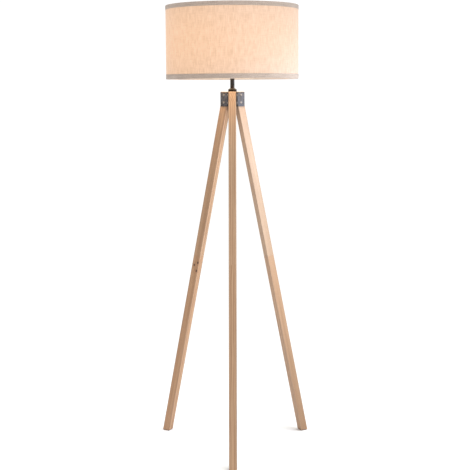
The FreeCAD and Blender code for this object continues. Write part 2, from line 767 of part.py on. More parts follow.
def globe(name, wall):
    """Globe, shoulder and neck of the glass, drawn in by a wall."""
    ball = doc.addObject("Part::Sphere", f"{name}Ball")
    radius = f"(bulbDiameter / 2 - {wall})"
    bind(ball, Radius=radius, Placement__Base__z=GLOBE_MIDDLE)
    shoulder = doc.addObject("Part::Cone", f"{name}Shoulder")
    bind(shoulder,
         Radius1=f"{NECK_RADIUS} - {wall}",
         Radius2=f"sqrt({radius} ^ 2 - shoulderDrop ^ 2)",
         Height=f"{GLOBE_MIDDLE} - shoulderDrop - {NECK_TOP}",
         Placement__Base__z=NECK_TOP)
    neck = cylinder(f"{name}Neck", f"{NECK_RADIUS} - {wall}", f"{NECK_TOP} - {GLASS_BOTTOM}", GLASS_BOTTOM)
    whole = doc.addObject("Part::MultiFuse", name)
    whole.Shapes = [ball, shoulder, neck]
    return whole


keep(cut("BulbGlass", globe("GlassOuter", "0"), globe("GlassInner", "glassWall")), "bulb_glass")
band("BulbCap", "bulb_cap", "bulbCap / 2 - bulbCapWall", "bulbCap / 2", BULB_CAP_BOTTOM, BULB_CAP_TOP)
keep(turned("BulbInsulator", [
    ("0", f"{BULB_BOTTOM} + tipHeight"),
    ("insulatorFoot / 2", f"{BULB_BOTTOM} + tipHeight"),
    ("bulbCap / 2", BULB_CAP_BOTTOM),
    ("0", BULB_CAP_BOTTOM),
]), "bulb_insulator")
keep(cylinder("BulbTip", "tipDiameter / 2", "tipHeight", BULB_BOTTOM), "bulb_tip")


# ---- build, check and write ----


doc.recompute()
for item in doc.Objects:
    if "Invalid" in item.State or "Error" in item.State:
        raise RuntimeError(f"{item.Label} failed to rebuild: {item.State}")
for piece in parts:
    if piece.Shape.isNull() or not piece.Shape.isValid():
        raise RuntimeError(f"{piece.Label} has no valid shape")

os.makedirs("parts", exist_ok=True)
for piece in parts:
    piece.Shape.exportStep(f"parts/{piece.Label}.step")
    solids = len(piece.Shape.Solids)
    print(f"{piece.Label}: {solids} solid(s), {piece.Shape.Volume:.0f} mm3")
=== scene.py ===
import json
import math

import bmesh
import bpy
from mathutils import Matrix, Vector

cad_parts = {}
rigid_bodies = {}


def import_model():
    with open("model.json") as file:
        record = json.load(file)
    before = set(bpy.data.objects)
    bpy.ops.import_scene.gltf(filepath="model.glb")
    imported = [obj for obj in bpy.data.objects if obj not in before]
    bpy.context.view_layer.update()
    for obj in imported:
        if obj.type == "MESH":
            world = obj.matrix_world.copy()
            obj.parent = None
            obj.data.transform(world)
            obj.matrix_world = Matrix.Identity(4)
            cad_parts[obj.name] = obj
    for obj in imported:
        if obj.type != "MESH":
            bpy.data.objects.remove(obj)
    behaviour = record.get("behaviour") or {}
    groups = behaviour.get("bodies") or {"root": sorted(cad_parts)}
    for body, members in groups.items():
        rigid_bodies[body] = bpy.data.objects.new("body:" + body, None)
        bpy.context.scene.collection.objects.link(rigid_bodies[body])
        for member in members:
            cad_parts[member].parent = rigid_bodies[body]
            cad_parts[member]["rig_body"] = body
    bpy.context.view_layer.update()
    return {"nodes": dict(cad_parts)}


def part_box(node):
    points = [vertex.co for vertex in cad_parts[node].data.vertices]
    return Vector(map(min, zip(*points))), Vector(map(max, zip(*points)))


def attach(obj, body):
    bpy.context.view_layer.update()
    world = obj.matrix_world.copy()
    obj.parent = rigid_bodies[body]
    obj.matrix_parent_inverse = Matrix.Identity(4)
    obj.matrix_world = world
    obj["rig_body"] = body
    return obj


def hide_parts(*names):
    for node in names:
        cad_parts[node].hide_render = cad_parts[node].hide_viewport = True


# The looks of a tripod floor lamp, in metres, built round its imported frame. +Z is up, the lamp's axis is Z.

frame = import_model()
cad = frame["nodes"]
bearings = {"front": -90, "right": 30, "left": 150}  # each leg's bearing round the lamp's axis
print("frame loaded:", len(cad), "nodes")


def outward(bearing):
    angle = math.radians(bearing)
    return Vector((math.cos(angle), math.sin(angle), 0))


def low(node):
    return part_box(node)[0]


def high(node):
    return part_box(node)[1]


class Value:
    # what comes out of a node, so that maths on it can be written as an expression
    def __init__(self, graph, socket):
        self.graph = graph
        self.socket = socket

    def output(self, name):
        return Value(self.graph, self.socket.node.outputs[name])

    def __add__(self, other):
        return self.graph.math("ADD", self, other)

    __radd__ = __add__

    def __sub__(self, other):
        return self.graph.math("SUBTRACT", self, other)

    def __rsub__(self, other):
        return self.graph.math("SUBTRACT", other, self)

    def __mul__(self, other):
        return self.graph.math("MULTIPLY", self, other)

    __rmul__ = __mul__

    def __truediv__(self, other):
        return self.graph.math("DIVIDE", self, other)

    def __rtruediv__(self, other):
        return self.graph.math("DIVIDE", other, self)

    def __pow__(self, other):
        return self.graph.math("POWER", self, other)

    def __abs__(self):
        return self.graph.math("ABSOLUTE", self)


class Graph:
    def __init__(self, tree):
        self.tree = tree

    def node(self, kind, settings=None, sockets=None, output=0):
        made = self.tree.nodes.new(kind)
        for name, value in (settings or {}).items():
            if name == "stops":
                fillRamp(made.color_ramp, value)
            else:
                setattr(made, name, value)
        for name, value in (sockets or {}).items():
            if isinstance(value, Value):
                self.tree.links.new(value.socket, made.inputs[name])
            else:
                made.inputs[name].default_value = value
        return None if output is None else Value(self, made.outputs[output])

    def math(self, operation, *values):
        return self.node("ShaderNodeMath", {"operation": operation}, dict(enumerate(values)))

    def vectorMath(self, operation, *values, output=0):
        return self.node("ShaderNodeVectorMath", {"operation": operation}, dict(enumerate(values)), output)

    def dot(self, vector, direction):
        return self.vectorMath("DOT_PRODUCT", vector, direction, output="Value")

    def split(self, vector):
        parts = self.node("ShaderNodeSeparateXYZ", {}, {"Vector": vector})
        return parts, parts.output("Y"), parts.output("Z")

    def join(self, x, y, z):
        return self.node("ShaderNodeCombineXYZ", {}, {"X": x, "Y": y, "Z": z})

    def rise(self, value, start, end):
        # 0 up to start and 1 from end on, smooth between
        sockets = {"Value": value, "From Min": start, "From Max": end}
        return self.node("ShaderNodeMapRange", {"interpolation_type": "SMOOTHSTEP"}, sockets)

    def between(self, value, start, end, fade):
        return self.rise(value, start, start + fade) * (1 - self.rise(value, end - fade, end))

    def noise(self, place, scale, detail=2.0, roughness=0.5, distortion=0.0):
        sockets = {
            "Vector": place,
            "Scale": scale,
            "Detail": detail,
            "Roughness": roughness,
            "Distortion": distortion,
        }
        return self.node("ShaderNodeTexNoise", {}, sockets)


def fillRamp(ramp, stops):
    while len(ramp.elements) < len(stops):
        ramp.elements.new(1)
    for element, (position, colour) in zip(ramp.elements, stops):
        element.position = position
        element.color = colour


def tone(red, green, blue):
    # a colour as a paint card gives it, 0 to 255, as the linear light that nodes want
    def linear(share):
        return share / 12.92 if share <= 0.04045 else ((share + 0.055) / 1.055) ** 2.4

    return (*(linear(part / 255) for part in (red, green, blue)), 1)


class Finish(Graph):
    # the node graph of one material
    def __init__(self, name):
        self.material = bpy.data.materials.new(name)
        self.material.use_nodes = True
        super().__init__(self.material.node_tree)
        self.tree.nodes.clear()
        self.place = self.node("ShaderNodeTexCoord", output="Object")

    def mix(self, share, first, second):
        # the sockets 0, 6 and 7 are the share and the two colours
        return self.node("ShaderNodeMix", {"data_type": "RGBA"}, {0: share, 6: first, 7: second}, output=2)

    def ramp(self, value, stops):
        return self.node("ShaderNodeValToRGB", {"stops": stops}, {"Fac": value})

    def stretch(self, x, y, z):
        # the place times these, so that a pattern runs along the axis with the smallest
        return self.vectorMath("MULTIPLY", self.place, (x, y, z))

    def bump(self, height, distance):
        return self.node("ShaderNodeBump", {}, {"Height": height, "Distance": distance, "Strength": 1.0})

    def done(self, sockets):
        shader = self.node("ShaderNodeBsdfPrincipled", {}, sockets)
        self.node("ShaderNodeOutputMaterial", {}, {"Surface": shader}, output=None)
        return self.material


class Recipe(Graph):
    # one Geometry Nodes tree with named sizes
    def __init__(self, name, sizes):
        super().__init__(bpy.data.node_groups.new(name, "GeometryNodeTree"))
        sockets = self.tree.interface
        sockets.new_socket("Geometry", in_out="INPUT", socket_type="NodeSocketGeometry")
        sockets.new_socket("Geometry", in_out="OUTPUT", socket_type="NodeSocketGeometry")
        for label, value in sizes.items():
            kind = "NodeSocketInt" if isinstance(value, int) else "NodeSocketFloat"
            sockets.new_socket(label, in_out="INPUT", socket_type=kind)
        self.entry = self.node("NodeGroupInput")
        self.start = self.entry.output("Geometry")

    def size(self, label):
        return self.entry.output(label)

    def place(self):
        return self.node("GeometryNodeInputPosition")

    def attribute(self, name):
        return self.node("GeometryNodeInputNamedAttribute", {"data_type": "FLOAT_VECTOR"}, {"Name": name})

    def moved(self, geometry, way):
        return self.node("GeometryNodeTransform", {}, {"Geometry": geometry, "Translation": way})

    def joined(self, *parts):
        whole = self.node("GeometryNodeJoinGeometry")
        for part in parts:
            self.tree.links.new(part.socket, whole.socket.node.inputs[0])
        return whole

    def end(self, geometry, material):
        whole = self.node("GeometryNodeRealizeInstances", {}, {"Geometry": geometry})
        painted = self.node("GeometryNodeSetMaterial", {}, {"Geometry": whole, "Material": material})
        self.node("NodeGroupOutput", {}, {"Geometry": painted}, output=None)

    def make(self, name, mesh, sizes):
        # runs the tree on a mesh with these sizes and keeps the result as a plain mesh
        piece = newPiece(name, mesh)
        modifier = piece.modifiers.new("recipe", "NODES")
        modifier.node_group = self.tree
        for socket in self.tree.interface.items_tree:
            if socket.in_out == "INPUT" and socket.name in sizes:
                modifier[socket.identifier] = sizes[socket.name]
        evaluated = piece.evaluated_get(bpy.context.evaluated_depsgraph_get())
        piece.data = bpy.data.meshes.new_from_object(evaluated)
        piece.modifiers.remove(modifier)
        smooth(piece.data)
        return piece


def smooth(mesh, sharpAbove=35):
    mesh.shade_smooth()
    mesh.set_sharp_from_angle(angle=math.radians(sharpAbove))


def newPiece(name, mesh):
    piece = bpy.data.objects.new(name, mesh)
    bpy.context.scene.collection.objects.link(piece)
    return piece


def meshFrom(name, shape):
    mesh = bpy.data.meshes.new(name)
    shape.to_mesh(mesh)
    shape.free()
    smooth(mesh)
    return mesh


def eased(outline, radius, steps=3):
    # a closed outline of (radius, height) points with its corners rounded, except on the axis
    points = []
    for index, corner in enumerate(outline):
        corner = Vector(corner)
        toLast = Vector(outline[index - 1]) - corner
        toNext = Vector(outline[(index + 1) % len(outline)]) - corner
        reach = min(radius, toLast.length * 0.45, toNext.length * 0.45)
        if corner.x < 1e-6 or reach < 1e-6:
            points.append(corner)
            continue
        start = corner + toLast.normalized() * reach
        end = corner + toNext.normalized() * reach
        for step in range(steps + 1):
            share = step / steps
            points.append(start * (1 - share) ** 2 + corner * 2 * share * (1 - share) + end * share ** 2)
    return points


def hoop(inner, outer, bottom, top):
    # the outline of a plain ring
    return [(inner, bottom), (outer, bottom), (outer, top), (inner, top)]


def divided(points, step):
    # the same closed outline with its long runs cut into short ones
    fine = []
    for index, point in enumerate(points):
        run = points[(index + 1) % len(points)] - point
        onAxis = point.x < 1e-6 and point.x + run.x < 1e-6
        cuts = 1 if onAxis else max(1, math.ceil(run.length / step))
        fine += [point + run * (cut / cuts) for cut in range(cuts)]
    return fine


def turned(name, outline, ease=0.0004, step=0.02, around=96):
    # a closed outline of (radius, height) points turned round Z
    shape = bmesh.new()
    rings = []
    for point in divided(eased(outline, ease), step):
        if point.x < 1e-6:
            rings.append([shape.verts.new((0, 0, point.y))] * around)
            continue
        angles = (math.tau * count / around for count in range(around))
        spots = [(point.x * math.cos(angle), point.x * math.sin(angle), point.y) for angle in angles]
        rings.append([shape.verts.new(spot) for spot in spots])
    for index, ring in enumerate(rings):
        after = rings[(index + 1) % len(rings)]
        for count in range(around):
            follow = (count + 1) % around
            corners = list(dict.fromkeys([ring[count], ring[follow], after[follow], after[count]]))
            if len(corners) > 2:
                shape.faces.new(corners)
    bmesh.ops.recalc_face_normals(shape, faces=shape.faces)
    return meshFrom(name, shape)


def plainCopy(node):
    # a CAD node's mesh as one closed shape with whole faces
    shape = bmesh.new()
    shape.from_mesh(cad[node].data)
    bmesh.ops.remove_doubles(shape, verts=shape.verts, dist=1e-6)
    bmesh.ops.dissolve_limit(shape, angle_limit=math.radians(1), verts=shape.verts, edges=shape.edges)
    return shape


def easedCopy(name, node, material, width):
    # a CAD node's shape with its sharp edges eased
    mesh = meshFrom(name, plainCopy(node))
    mesh.materials.clear()
    mesh.materials.append(material)
    piece = newPiece(name, mesh)
    bevel = piece.modifiers.new("easedEdges", "BEVEL")
    bevel.width = width
    bevel.segments = 2
    bevel.limit_method = "ANGLE"
    bevel.angle_limit = math.radians(40)
    bevel.harden_normals = True
    return piece


def paint(piece, material):
    piece.data.materials.clear()
    piece.data.materials.append(material)
    return piece


def standFor(piece, node):
    # the piece takes the place of a CAD node and moves with its body
    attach(piece, cad[node]["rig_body"])
    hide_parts(node)


cameraSetup = {
    "place": (0.0659, -3.5811, 1.1931),
    "yaw": -0.956,  # degrees
    "pitch": 6.673,
    "roll": -0.33,
    "lens": 83.07,
    "shift": -0.04,
}


def placeCamera():
    data = bpy.data.cameras.new("studioCamera")
    data.lens = cameraSetup["lens"]
    data.shift_y = cameraSetup["shift"]
    camera = newPiece("studioCamera", data)
    yaw, pitch, roll = (math.radians(cameraSetup[turn]) for turn in ("yaw", "pitch", "roll"))
    turn = (Matrix.Rotation(-yaw, 4, "Z")
            @ Matrix.Rotation(math.pi / 2 - pitch, 4, "X")
            @ Matrix.Rotation(roll, 4, "Z"))
    camera.matrix_world = Matrix.Translation(cameraSetup["place"]) @ turn
    bpy.context.scene.camera = camera


placeCamera()

studio = {
    "room": 0.38,  # soft light from all round
    "roomTone": tone(255, 253, 250),
    "backdrop": 1.05,  # what the camera sees behind the lamp
    "backdropTone": tone(255, 255, 255),
    "floorHalf": 90,  # from the lamp to each edge of the floor
    "overheadPower": 2.4,
    "overheadTurn": (6, 5),  # degrees off straight down, from the right and from the front
    "overheadSpread": 40,
    "softPanels": (  # name, power, size, place: cool panels to the right and to the left
        ("rightPanel", 18, 1.1, (1.9, -1.3, 1.6)),
        ("leftPanel", 3.5, 0.9, (-1.4, -1.2, 1.7)),
    ),
    "panelAim": (0, 0, 1.15),
    "panelTone": tone(218, 236, 255),
    "sidePower": 56,  # from the right, below the shade, so that it fades down the legs
    "sideTone": tone(235, 243, 255),
    "sideCone": 62,  # degrees
    "sideSize": 0.25,
    "sidePlace": (1.02, -0.2, 1.14),
    "sideAim": (0, 0, 0.72),
    "glowPower": 0.72,  # what falls out of the bottom of the shade
    "glowTone": tone(255, 230, 186),
    "glowSize": 0.2,
    "glowRise": 0.03,  # above the shade's bottom edge
}


def lamp(name, kind, settings, place=(0, 0, 0), turn=None):
    data = bpy.data.lights.new(name, kind)
    for setting, value in settings.items():
        setattr(data, setting, value)
    light = newPiece(name, data)
    light.location = place
    if turn:
        light.rotation_mode = "QUATERNION"
        light.rotation_quaternion = turn
    return light


def lightStudio():
    scene = bpy.context.scene
    scene.view_settings.view_transform = "Standard"
    world = bpy.data.worlds.new("studioRoom")
    world.use_nodes = True
    scene.world = world
    graph = Graph(world.node_tree)
    graph.tree.nodes.clear()
    room = {"Color": studio["roomTone"], "Strength": studio["room"]}
    wall = {"Color": studio["backdropTone"], "Strength": studio["backdrop"]}
    both = graph.node("ShaderNodeMixShader", {}, {
        0: graph.node("ShaderNodeLightPath"),
        1: graph.node("ShaderNodeBackground", {}, room),
        2: graph.node("ShaderNodeBackground", {}, wall),
    })
    graph.node("ShaderNodeOutputWorld", {}, {"Surface": both}, output=None)

    overhead = {"energy": studio["overheadPower"], "angle": math.radians(studio["overheadSpread"])}
    tilt, forward = (math.radians(angle) for angle in studio["overheadTurn"])
    downwards = Vector((-math.sin(tilt), math.sin(forward), -math.cos(tilt)))
    lamp("overheadLight", "SUN", overhead, turn=downwards.to_track_quat("-Z", "Y"))

    for name, power, size, place in studio["softPanels"]:
        aim = (Vector(studio["panelAim"]) - Vector(place)).to_track_quat("-Z", "Y")
        panel = {"energy": power, "size": size, "color": studio["panelTone"][:3]}
        lamp(name, "AREA", panel, place, aim)

    place = Vector(studio["sidePlace"])
    aim = (Vector(studio["sideAim"]) - place).to_track_quat("-Z", "Y")
    side = {
        "energy": studio["sidePower"],
        "color": studio["sideTone"][:3],
        "spot_size": math.radians(studio["sideCone"]),
        "spot_blend": 0.5,
        "shadow_soft_size": studio["sideSize"],
    }
    lamp("sideLight", "SPOT", side, place, aim)

    under = {
        "energy": studio["glowPower"],
        "color": studio["glowTone"][:3],
        "shape": "DISK",
        "size": studio["glowSize"],
    }
    below = lamp("glowLight", "AREA", under, (0, 0, low("shade_fabric").z + studio["glowRise"]))
    below.visible_camera = False


def layFloor():
    finish = Finish("paleFloor")
    grain = finish.noise(finish.place, 3.0, 4.0)
    colour = finish.mix(grain, tone(253, 253, 252), tone(255, 255, 255))
    shape = bmesh.new()
    bmesh.ops.create_grid(shape, x_segments=1, y_segments=1, size=studio["floorHalf"])
    floor = newPiece("floor", meshFrom("floor", shape))
    paint(floor, finish.done({"Base Color": colour, "Roughness": 0.75}))


lightStudio()
layFloor()
print("studio lit")


def metal(name, light, dark, roughness, scale=60.0, metallic=1.0, relief=0.00002):
    # worked metal: cloudy tone, fine scratches and smudged gloss
    finish = Finish(name)
    cloud = finish.noise(finish.place, scale, 4.0, 0.6)
    scratch = finish.noise(finish.stretch(1, 1, 14), scale * 12, 2.0)
    colour = finish.mix(finish.rise(cloud * 0.7 + scratch * 0.3, 0.3, 0.7), dark, light)
    gloss = roughness * (0.75 + 0.5 * cloud)
    return finish.done({
        "Base Color": colour,
        "Metallic": metallic,
        "Roughness": gloss,
        "Normal": finish.bump(scratch + cloud, relief),
    })


def moulded(name, light, dark, roughness, relief=0.00003, scale=900.0):
    # moulded or sprayed skin: fine orange peel and a slightly uneven tone
    finish = Finish(name)
    cloud = finish.noise(finish.place, 45.0, 3.0)
    peel = finish.noise(finish.place, scale, 2.0)
    dust = finish.rise(finish.noise(finish.place, 2600.0, 1.0), 0.62, 0.8)
    colour = finish.mix(finish.rise(cloud + dust * 0.2, 0.25, 0.9), dark, light)
    return finish.done({
        "Base Color": colour,
        "Roughness": roughness * (0.8 + 0.4 * peel),
        "Normal": finish.bump(peel, relief),
    })


def felt(name, light, dark):
    finish = Finish(name)
    fibre = finish.noise(finish.stretch(1, 3, 2), 2200.0, 3.0, 0.7, 1.5)
    tuft = finish.noise(finish.place, 300.0, 3.0)
    colour = finish.mix(finish.rise(fibre * 0.6 + tuft * 0.4, 0.3, 0.7), dark, light)
    return finish.done({
        "Base Color": colour,
        "Roughness": 0.95,
        "Sheen Weight": 0.3,
        "Normal": finish.bump(fibre, 0.0004),
    })


steels = {
    "screw": metal("agedScrew", tone(164, 157, 152), tone(112, 106, 102), 0.46, 200.0, 0.65),
    "zinc": metal("brightZinc", tone(206, 204, 200), tone(150, 149, 148), 0.34),
    "raw": metal("rawSteel", tone(150, 148, 145), tone(92, 90, 88), 0.42),
    "pipe": metal("zincedPipe", tone(176, 172, 160), tone(118, 114, 104), 0.36, 90.0),
    "brass": metal("brass", tone(214, 176, 104), tone(150, 112, 58), 0.3, 120.0),
    "nickel": metal("nickelledCap", tone(214, 212, 206), tone(168, 165, 158), 0.24, 120.0),
    "solder": metal("solder", tone(178, 178, 176), tone(120, 120, 120), 0.4, 300.0),
}
skins = {
    "black": moulded("blackPhenolic", tone(44, 41, 39), tone(24, 22, 21), 0.38),
    "knob": moulded("knobPlastic", tone(40, 38, 37), tone(20, 19, 18), 0.32),
    "brown": moulded("brownPhenolic", tone(92, 62, 42), tone(58, 38, 26), 0.45),
    "bush": moulded("bushPlastic", tone(50, 48, 47), tone(30, 29, 28), 0.5),
    "glazed": moulded("capInsulator", tone(38, 34, 44), tone(18, 16, 22), 0.14),
    "powder": moulded("whitePowderCoat", tone(236, 234, 228), tone(214, 211, 203), 0.42, 0.00006, 700.0),
}


legShape = {
    "half": high("leg_front_upper").x,  # half of the square section
    "headReach": high("leg_front_upper").x - high("leg_front_upper").y,  # from the axis to the heads' middles
    "footReach": 0.275,  # from the axis to the feet's middles
    "kneeHeight": 1.1485,  # where the upright head turns into the splayed shank
    "ease": 0.0004,
}


def legAxes(bearing):
    # along the leg, across its depth and sideways, and the middle of its knee
    spread = legShape["footReach"] - legShape["headReach"]
    splay = math.atan2(spread, legShape["kneeHeight"])
    out = outward(bearing)
    up = Vector((0, 0, 1))
    along = out * math.sin(splay) - up * math.cos(splay)
    depth = out * math.cos(splay) + up * math.sin(splay)
    knee = out * legShape["headReach"] + up * legShape["kneeHeight"]
    return along, depth, outward(bearing + 90), knee


def legWood(name, bearing, shift, light, warmth, knots=()):
    # light hardwood whose grain follows the leg; a knot is (along, depth, side, radius)
    finish = Finish(name)
    axes = legAxes(bearing)
    knee = axes[3]
    along, depth, side = (finish.dot(finish.place, axis) - knee.dot(axis) for axis in axes[:3])

    knotCore = 0.0
    knotHalo = 0.0
    for knotAlong, knotDepth, knotSide, knotRadius in knots:
        gaps = finish.join((along - knotAlong) * 0.72, depth - knotDepth, side - knotSide)
        gap = finish.vectorMath("LENGTH", gaps, output="Value") / knotRadius
        knotCore = finish.math("MAXIMUM", 1 - finish.rise(gap, 0.55, 1.15), knotCore)
        knotHalo = finish.math("MAXIMUM", 1 - finish.rise(gap, 1.0, 3.4), knotHalo)

    # growth rings round a heart outside the section, that wander along it and swerve round the knots
    heartSide, heartDepth = -0.045, -0.06 - shift * 0.004
    ringWidth = 0.0034
    drift = finish.noise(finish.join(side * 30 + shift, depth * 30, along * 2.2), 1.0, 3.0)
    slide = drift * 0.009 + knotHalo * 0.0035
    ringReach = finish.math("SQRT", (side - heartSide) ** 2 + (depth - heartDepth) ** 2)
    ring = finish.math("FRACT", (ringReach + slide) / ringWidth)
    late = finish.rise(ring, 0.45, 0.92) * (1 - finish.rise(ring, 0.93, 1.0))
    streak = finish.noise(finish.join(side * 150 + shift, depth * 150, along * 3.0), 1.0, 3.0, 0.6)
    board = finish.noise(finish.join(side * 12 - shift, depth * 12, along * 1.6), 1.0, 2.0)
    fibre = finish.noise(finish.join(side * 1400, depth * 1400 + shift, along * 45), 1.0, 2.0)
    speck = finish.noise(finish.join(side * 2400, depth * 2400, along * 160 + shift), 1.0, 1.0)
    pore = finish.rise(speck, 0.66, 0.8)

    lean = (light, light * warmth, light * warmth ** 2.2)
    pale = tone(*(part * share for part, share in zip((188, 154, 123), lean)))
    dark = tone(*(part * share for part, share in zip((150, 112, 80), lean)))
    grain = finish.rise(late * 0.34 + streak * 0.75 + board * 0.45 + fibre * 0.12, 0.42, 1.12)
    colour = finish.mix(grain, pale, dark)
    arris = finish.rise(abs(side), 0.0085, 0.0122) * finish.rise(abs(depth), 0.0085, 0.0122)
    colour = finish.mix(arris * 0.4, colour, tone(148, 124, 102))
    colour = finish.mix(pore * 0.35, colour, tone(118, 84, 58))
    if knots:
        colour = finish.mix(knotHalo * 0.4, colour, tone(166, 116, 78))
        colour = finish.mix(knotCore * 0.95, colour, tone(84, 50, 32))
    height = fibre * 0.5 + late * 0.3 - pore * 0.6 - knotCore * 0.8
    return finish.done({
        "Base Color": colour,
        "Roughness": 0.5 + 0.14 * fibre - 0.06 * late,
        "Coat Weight": 0.3,
        "Coat Roughness": 0.4,
        "Normal": finish.bump(height, 0.00012),
    })


legLengths = {
    # shift of the grain, lightness, warmth, and pin knots, for each length of each leg
    "leg_front_upper": (3.1, 1.0, 0.99, ()),
    "leg_front_lower": (7.7, 1.0, 0.985, ()),
    # the right upper length is paler than its lower length as a painted highlight, for the side light's glare
    # at the top of the right leg
    "leg_right_upper": (16.3, 1.03, 1.03, ((0.46, -0.004, 0.0125, 0.0014),)),
    "leg_right_lower": (16.3, 1.03, 0.99, ()),
    "leg_left_upper": (26.8, 1.045, 0.98, ()),
    "leg_left_lower": (26.8, 1.045, 0.955, (
        (0.5508, -0.0086, 0.0125, 0.0040),
        (0.5615, 0.0036, 0.0125, 0.0036),
        (0.5795, -0.0084, 0.0125, 0.0038),
    )),
}


def makeLegs():
    for node, (shift, light, warmth, knots) in legLengths.items():
        side = node.split("_")[1]
        wood = legWood(node.replace("leg_", "wood_"), bearings[side], shift, light, warmth, knots)
        name = node.replace("leg_", "wooden_leg_")
        standFor(easedCopy(name, node, wood, legShape["ease"]), node)


makeLegs()
paint(cad["foot_pads"], felt("blackFelt", tone(64, 62, 60), tone(34, 33, 32)))
paint(cad["leg_studs"], steels["zinc"])
paint(cad["leg_inserts"], steels["brass"])
print("legs made")


plates = {
    "gauge": 0.002,
    "ease": 0.0003,
    "edgeShadeFade": 0.0045,  # how far the painted shade on the top and bottom edges reaches in
    "endFade": (0.0368, 0.0398),  # from the axis: where the painted shade of the outer ends starts and is full
    "screwRise": 0.0126,  # from the plate's bottom to the lower screw
    "screwPitch": 0.0245,
}


def weatheredSteel():
    # blued plate that has gone grey and brown, with painted shade darkening its edges
    finish = Finish("weatheredSteel")
    x, y, z = finish.split(finish.place)
    reach = finish.math("SQRT", x * x + y * y)
    cloud = finish.noise(finish.place, 130.0, 4.0, 0.62, 0.6)
    fleck = finish.noise(finish.place, 620.0, 3.0, 0.7)
    streak = finish.noise(finish.stretch(1, 1, 0.25), 330.0, 2.0)
    patina = [
        (0.22, tone(38, 34, 34)),
        (0.42, tone(70, 64, 63)),
        (0.58, tone(80, 82, 92)),
        (0.80, tone(104, 96, 92)),
    ]
    colour = finish.ramp(cloud * 0.62 + streak * 0.38, patina)
    bottom = low("bracket_front").z
    top = high("bracket_front").z
    # painted shade: the plate is darkened along its top and bottom edges and at its outer ends
    clearOfPaintedShade = finish.between(z, bottom, top, plates["edgeShadeFade"]) * (1 - finish.rise(reach, *plates["endFade"]))
    colour = finish.mix((1 - clearOfPaintedShade) * 0.75, colour, tone(48, 40, 37))
    rust = finish.rise(fleck * 0.6 + cloud * 0.4, 0.58, 0.7)
    colour = finish.mix(rust * 0.4, colour, tone(112, 78, 56))
    return finish.done({
        "Base Color": colour,
        "Metallic": 0.35,
        "Roughness": 0.36 + 0.3 * fleck,
        "Normal": finish.bump(fleck * 0.5 + cloud, 0.00016),
    })


plateSteel = weatheredSteel()
for side in bearings:
    node = f"bracket_{side}"
    standFor(easedCopy(f"bent_plate_{side}", node, plateSteel, plates["ease"]), node)

panScrew = {
    "Head Radius": 0.0033,
    "Head Height": 0.002,
    "Shank Radius": 0.0019,
    "Shank Length": 0.0108,
    "Recess Width": 0.0008,
    "Recess Reach": 0.0019,
    "Recess Depth": 0.0011,
    "Seed": 7,
}


def screwRecipe(material):
    # pan-head screws with a cross recess, one at each point, facing the way that the point says
    recipe = Recipe("panScrews", panScrew)
    radius = recipe.size("Head Radius")
    height = recipe.size("Head Height")
    sockets = {"Vertices": 32, "Side Segments": 4, "Fill Segments": 5, "Radius": radius, "Depth": height}
    blank = recipe.node("GeometryNodeMeshCylinder", {}, sockets, output="Mesh")
    x, y, z = recipe.split(recipe.place())
    share = recipe.math("SQRT", x * x + y * y) / radius
    crown = height * recipe.math("SQRT", 1 - 0.82 * share ** 3)
    domed = recipe.join(x, y, (z / height + 0.5) * crown)
    head = recipe.node("GeometryNodeSetPosition", {}, {"Geometry": blank, "Position": domed})

    depth = recipe.size("Recess Depth")
    wide = recipe.size("Recess Width")
    reach = recipe.size("Recess Reach") * 2
    slots = [recipe.node("GeometryNodeMeshCube", {}, {"Size": size}, output="Mesh")
             for size in (recipe.join(reach, wide, depth * 2), recipe.join(wide, reach, depth * 2))]
    for slot in slots:
        cutter = {"Mesh 1": head, "Mesh 2": recipe.moved(slot, recipe.join(0, 0, height))}
        head = recipe.node("GeometryNodeMeshBoolean", {"operation": "DIFFERENCE", "solver": "EXACT"}, cutter)

    length = recipe.size("Shank Length")
    sockets = {"Vertices": 20, "Radius": recipe.size("Shank Radius"), "Depth": length}
    shank = recipe.node("GeometryNodeMeshCylinder", {}, sockets, output="Mesh")
    screw = recipe.joined(head, recipe.moved(shank, recipe.join(0, 0, length * -0.5)))

    seed = {"Seed": recipe.size("Seed")}
    spin = recipe.node("FunctionNodeRandomValue", {"data_type": "FLOAT"}, seed, output=1)
    upright = recipe.node("FunctionNodeAxisAngleToRotation", {}, {"Angle": spin * math.tau})
    sockets = {"Rotation": upright, "Vector": recipe.attribute("facing")}
    faced = recipe.node("FunctionNodeAlignRotationToVector", {"axis": "Z"}, sockets)
    sockets = {"Points": recipe.start, "Instance": screw, "Rotation": faced}
    recipe.end(recipe.node("GeometryNodeInstanceOnPoints", {}, sockets), material)
    return recipe


def screwSeats():
    # a point under each screw's head, with the way that it faces
    plate = legShape["half"] + plates["gauge"]
    lower = low("bracket_front").z + plates["screwRise"]
    heights = (lower, lower + plates["screwPitch"])
    spots = []
    for bearing in bearings.values():
        for face in (-1, 1):
            facing = outward(bearing + 90) * face
            seat = outward(bearing) * legShape["headReach"] + facing * plate
            spots += [(seat + Vector((0, 0, height)), facing) for height in heights]
    mesh = bpy.data.meshes.new("screwSeats")
    mesh.from_pydata([spot for spot, facing in spots], [], [])
    turns = mesh.attributes.new("facing", "FLOAT_VECTOR", "POINT")
    turns.data.foreach_set("vector", [part for spot, facing in spots for part in facing])
    return mesh


cheekScrews = screwRecipe(steels["screw"]).make("cheek_screws", screwSeats(), panScrew)
standFor(cheekScrews, "bracket_screws")

for node in ("hub_core", "hub_spacer", "hub_lock_washer"):
    paint(cad[node], steels["raw"])
hubNut = easedCopy("hexagon_nut", "hub_nut", steels["zinc"], 0.0005)
standFor(hubNut, "hub_nut")
paint(cad["lamp_pipe"], steels["pipe"])
paint(cad["cord_bush"], skins["bush"])
print("hub made")


pipeHole = 0.00505  # the radius of every hole that the lamp pipe goes through

stemShape = {
    "wall": 0.001,
    "brownLow": 0.002,  # the plain middle starts this far below the collar's top
    "brownHigh": 0.022,  # and ends this far below the stem's top
    "brownFade": 0.018,
}

